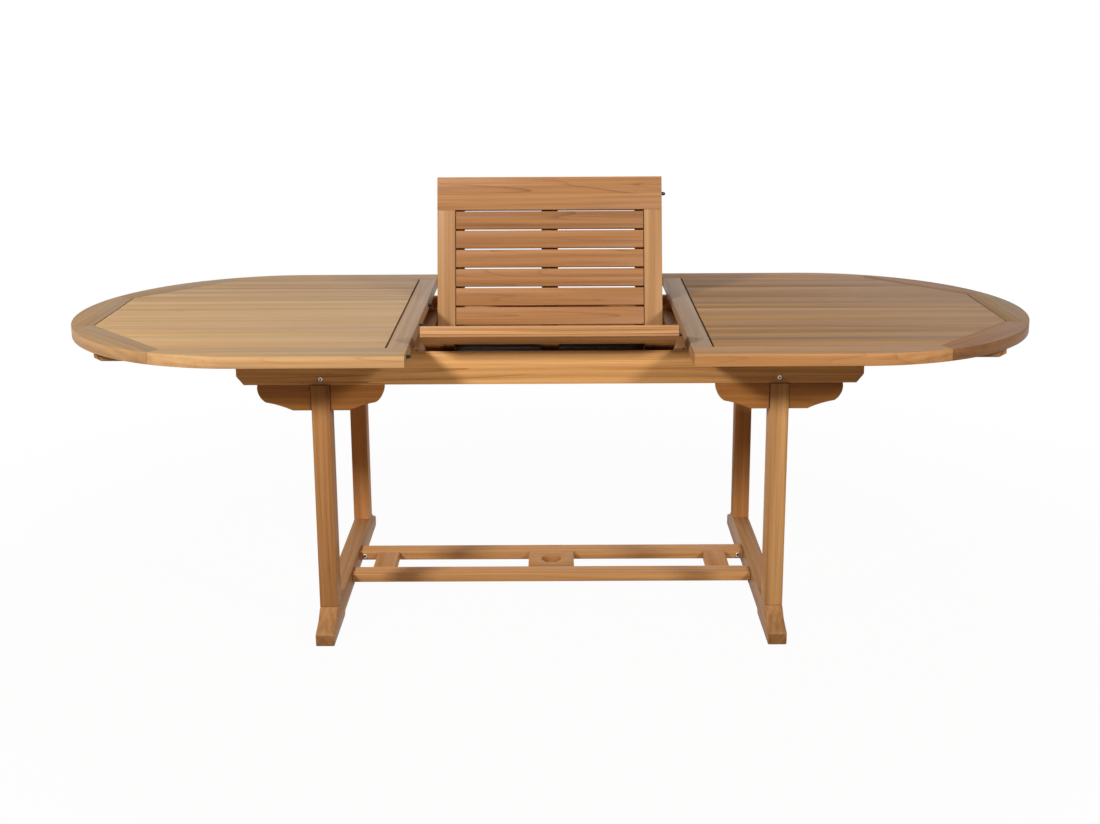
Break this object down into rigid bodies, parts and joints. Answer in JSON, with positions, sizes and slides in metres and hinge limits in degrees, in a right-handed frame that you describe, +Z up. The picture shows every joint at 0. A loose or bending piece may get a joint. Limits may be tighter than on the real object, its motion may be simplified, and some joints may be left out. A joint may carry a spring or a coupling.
{
  "type": "extending garden dining table",
  "caption": "Oval extending garden dining table in oiled teak: two sliding slatted halves on a trestle base, with a folding butterfly leaf raised in the opening and a parasol hole below.",
  "frame": {"origin": "on the floor, below the middle of the opening between the two halves", "axes": "+X along the table's length, +Y across it away from the viewer, +Z up"},
  "size_m": [2.442, 1, 1.0737],
  "materials": {
    "teak_field": "sanded teak boards with a dry oil finish",
    "teak_rim": "sanded teak with a dry oil finish",
    "teak_leaf": "sanded teak with a dry oil finish",
    "teak_base": "sanded teak with a dry oil finish",
    "teak_inner": "planed teak, unseen faces",
    "pin_steel": "turned stainless steel",
    "bolt_steel": "stainless steel bolt heads",
    "hinge_brass": "drawn brass"
  },
  "bodies": {
    "frame": {"front_apron": "teak_base", "rear_apron": "teak_base", "left_foot": "teak_base", "right_foot": "teak_base", "front_left_leg": "teak_base", "front_left_corbel": "teak_base", "rear_left_leg": "teak_base", "rear_left_corbel": "teak_base", "front_right_leg": "teak_base", "front_right_corbel": "teak_base", "rear_right_leg": "teak_base", "rear_right_corbel": "teak_base", "left_top_beam": "teak_inner", "right_top_beam": "teak_inner", "left_well_rail": "teak_inner", "right_well_rail": "teak_inner", "front_ledger": "teak_inner", "rear_ledger": "teak_inner", "front_stretcher": "teak_base", "rear_stretcher": "teak_base", "left_spacer": "teak_base", "right_spacer": "teak_base", "front_glides": "teak_base", "parasol_block": "teak_base", "apron_bolts": "bolt_steel", "stretcher_bolts": "bolt_steel"},
    "left_half": {"left_front_side_rim": "teak_rim", "left_front_corner_rim": "teak_rim", "left_rear_side_rim": "teak_rim", "left_rear_corner_rim": "teak_rim", "left_end_rim": "teak_rim", "left_field_boards": "teak_field", "left_cross_rail": "teak_field", "left_front_runner": "teak_inner", "left_rear_runner": "teak_inner", "left_cleats": "teak_inner", "left_pins": "pin_steel"},
    "right_half": {"right_front_side_rim": "teak_rim", "right_front_corner_rim": "teak_rim", "right_rear_side_rim": "teak_rim", "right_rear_corner_rim": "teak_rim", "right_end_rim": "teak_rim", "right_field_boards": "teak_field", "right_cross_rail": "teak_field", "right_front_runner": "teak_inner", "right_rear_runner": "teak_inner", "right_cleats": "teak_inner"},
    "leaf_spine": {"hinge_pins": "hinge_brass"},
    "front_wing": {"front_wing_rail": "teak_leaf", "front_wing_stiles": "teak_leaf", "front_wing_slats": "teak_leaf", "front_wing_battens": "teak_leaf", "front_wing_pins": "pin_steel", "front_wing_hinge_leaves": "hinge_brass"},
    "rear_wing": {"rear_wing_rail": "teak_leaf", "rear_wing_stiles": "teak_leaf", "rear_wing_slats": "teak_leaf", "rear_wing_battens": "teak_leaf", "rear_wing_pins": "pin_steel", "rear_wing_hinge_leaves": "hinge_brass"}
  },
  "joints": [
    {"name": "left_slide", "type": "slide", "parent": "frame", "child": "left_half", "axis": [1, 0, 0], "range_m": [0, 0.0275]},
    {"name": "right_slide", "type": "slide", "parent": "frame", "child": "right_half", "axis": [-1, 0, 0], "range_m": [0, 0.0275]},
    {"name": "leaf_lift", "type": "slide", "parent": "frame", "child": "leaf_spine", "axis": [0, -0.2978, 0.9546], "range_m": [0, 0.16687]},
    {"name": "front_wing_fold", "type": "hinge", "parent": "leaf_spine", "child": "front_wing", "pos_m": [0, 0.0497, 0.5907], "axis": [1, 0, 0], "range_deg": [0, 24.4]},
    {"name": "rear_wing_fold", "type": "hinge", "parent": "leaf_spine", "child": "rear_wing", "pos_m": [0, 0.0497, 0.5907], "axis": [-1, 0, 0], "range_deg": [0, 75]}
  ],
  "couplings": [
    {"joint": "front_wing_fold", "follows": "leaf_lift", "rad_per_m": 2.552},
    {"joint": "rear_wing_fold", "follows": "leaf_lift", "rad_per_m": 7.8443}
  ]
}
